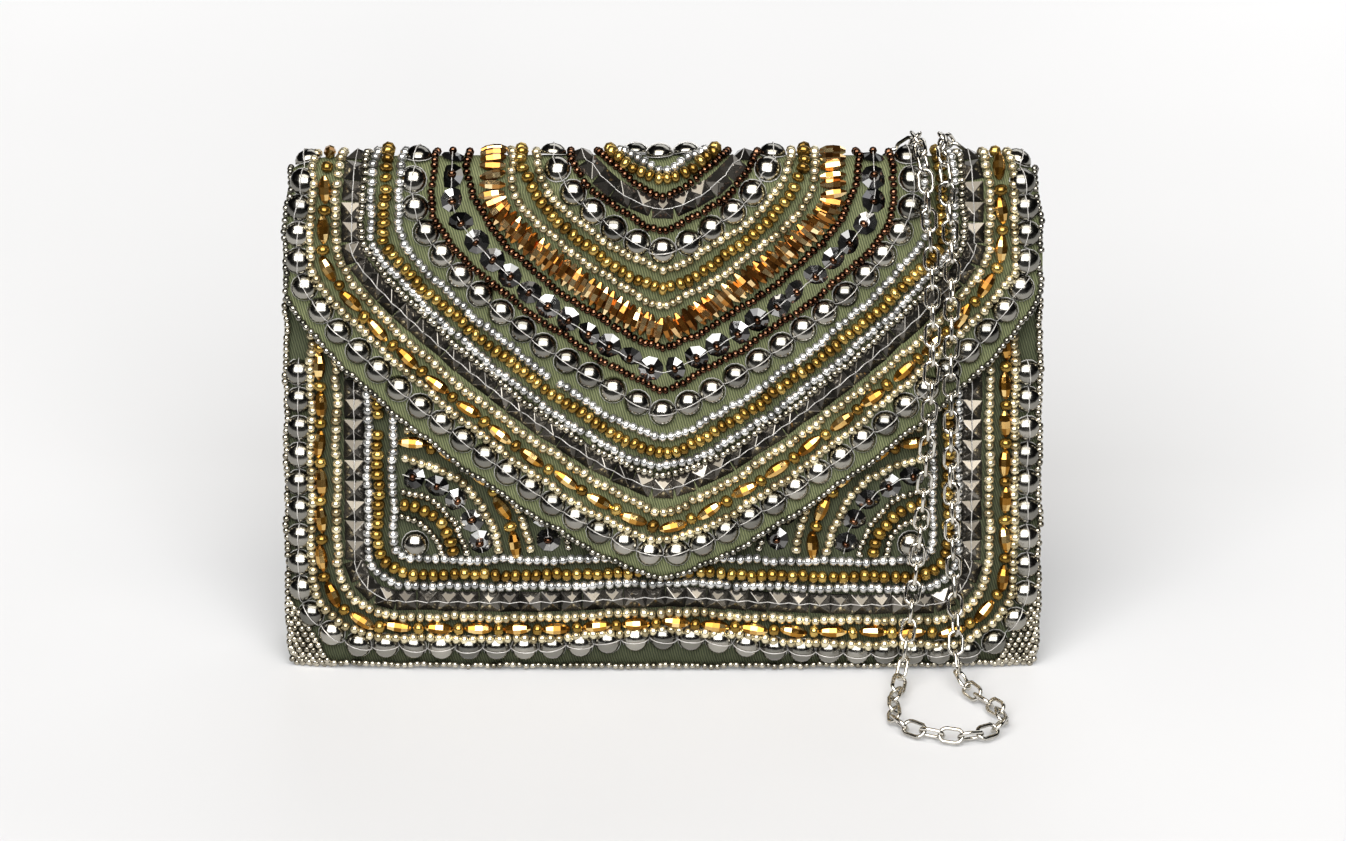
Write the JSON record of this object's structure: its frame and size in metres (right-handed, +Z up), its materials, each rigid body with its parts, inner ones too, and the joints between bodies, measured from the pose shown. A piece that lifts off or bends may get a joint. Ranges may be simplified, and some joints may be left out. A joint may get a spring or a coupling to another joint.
{
  "type": "clutch bag",
  "caption": "beaded envelope clutch bag in olive cloth with a V-shaped flap, rows of metallic beads and stones, and a fine chain strap",
  "frame": {"origin": "middle of the flat base", "axes": "+X to the right seen from the front, -Y the front, +Z up"},
  "size_m": [0.259, 0.1067, 0.1872],
  "materials": {
    "cloth": "matte",
    "domes": "polished",
    "metal": "satin"
  },
  "bodies": {
    "root": {"front_panel": "cloth", "gusset": "cloth", "back_and_flap": "cloth", "snap": "metal", "flap_border_domes": "domes", "flap_middle_domes": "domes", "front_border_domes": "domes", "corner_dome_left": "domes", "corner_dome_right": "domes", "chain": "metal", "strap_ring_left": "metal", "strap_ring_right": "metal"}
  },
  "joints": []
}
